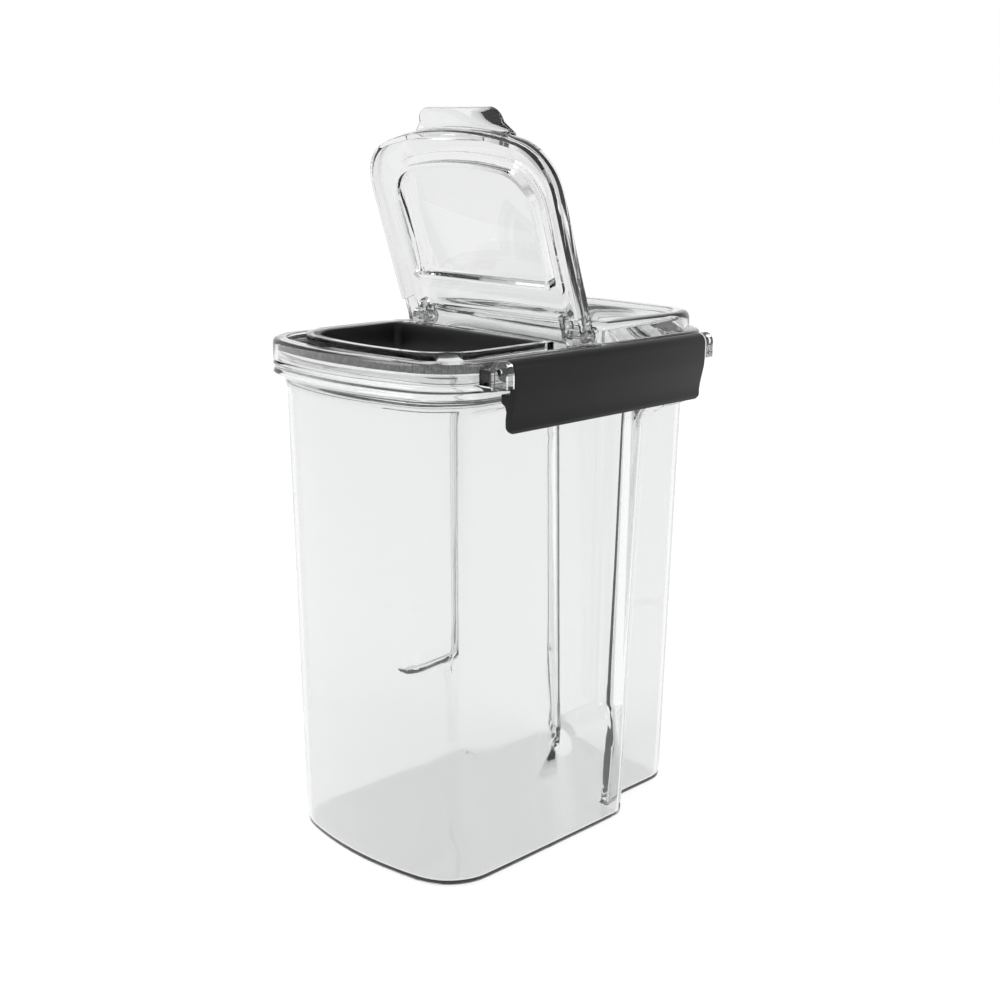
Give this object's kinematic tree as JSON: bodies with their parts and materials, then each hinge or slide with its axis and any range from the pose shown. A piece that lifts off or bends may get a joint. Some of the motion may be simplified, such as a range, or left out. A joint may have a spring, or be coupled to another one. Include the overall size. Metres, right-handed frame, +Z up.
{
  "type": "cereal container",
  "caption": "Clear upright keeper with a hand grip, a lid held by one long side latch, and a hinged pouring flap over a dark spout.",
  "frame": {"origin": "on the surface it stands on, in the middle of the foot's width, under the middle of the lid's length", "axes": "+Z up, -Y towards the pouring end, +Y towards the hand grip, +X to the latch"},
  "size_m": [0.1304, 0.1738, 0.3056],
  "materials": {
    "tub_clear": "clear, polished",
    "lid_clear": "clear, polished",
    "flap_clear": "clear, polished",
    "pin_clear": "clear, polished",
    "gasket_rubber": "matt",
    "liner_black": "satin",
    "latch_black": "satin",
    "pin_black": "satin"
  },
  "bodies": {
    "tub": {"tub": "tub_clear"},
    "lid": {"lid_shell": "lid_clear", "lid_gasket": "gasket_rubber", "spout_liner": "liner_black", "latch_pin": "pin_black"},
    "flap": {"pour_flap": "flap_clear", "flap_pin_right": "pin_clear", "flap_pin_left": "pin_clear"},
    "latch": {"side_latch": "latch_black"}
  },
  "joints": [
    {"name": "lid_lift", "type": "slide", "parent": "tub", "child": "lid", "axis": [0, 0, 1], "range_m": [0, 0.0072]},
    {"name": "flap_hinge", "type": "hinge", "parent": "lid", "child": "flap", "pos_m": [0, 0.0042, 0.217], "axis": [-1, 0, 0], "range_deg": [-71.3, 28.7]},
    {"name": "latch_hinge", "type": "hinge", "parent": "lid", "child": "latch", "pos_m": [0.068, -0.0025, 0.2122], "axis": [0, -1, 0], "range_deg": [0, 132]}
  ],
  "couplings": [
    {"joint": "latch_hinge", "follows": "lid_lift", "rad_per_m": 314.16}
  ]
}
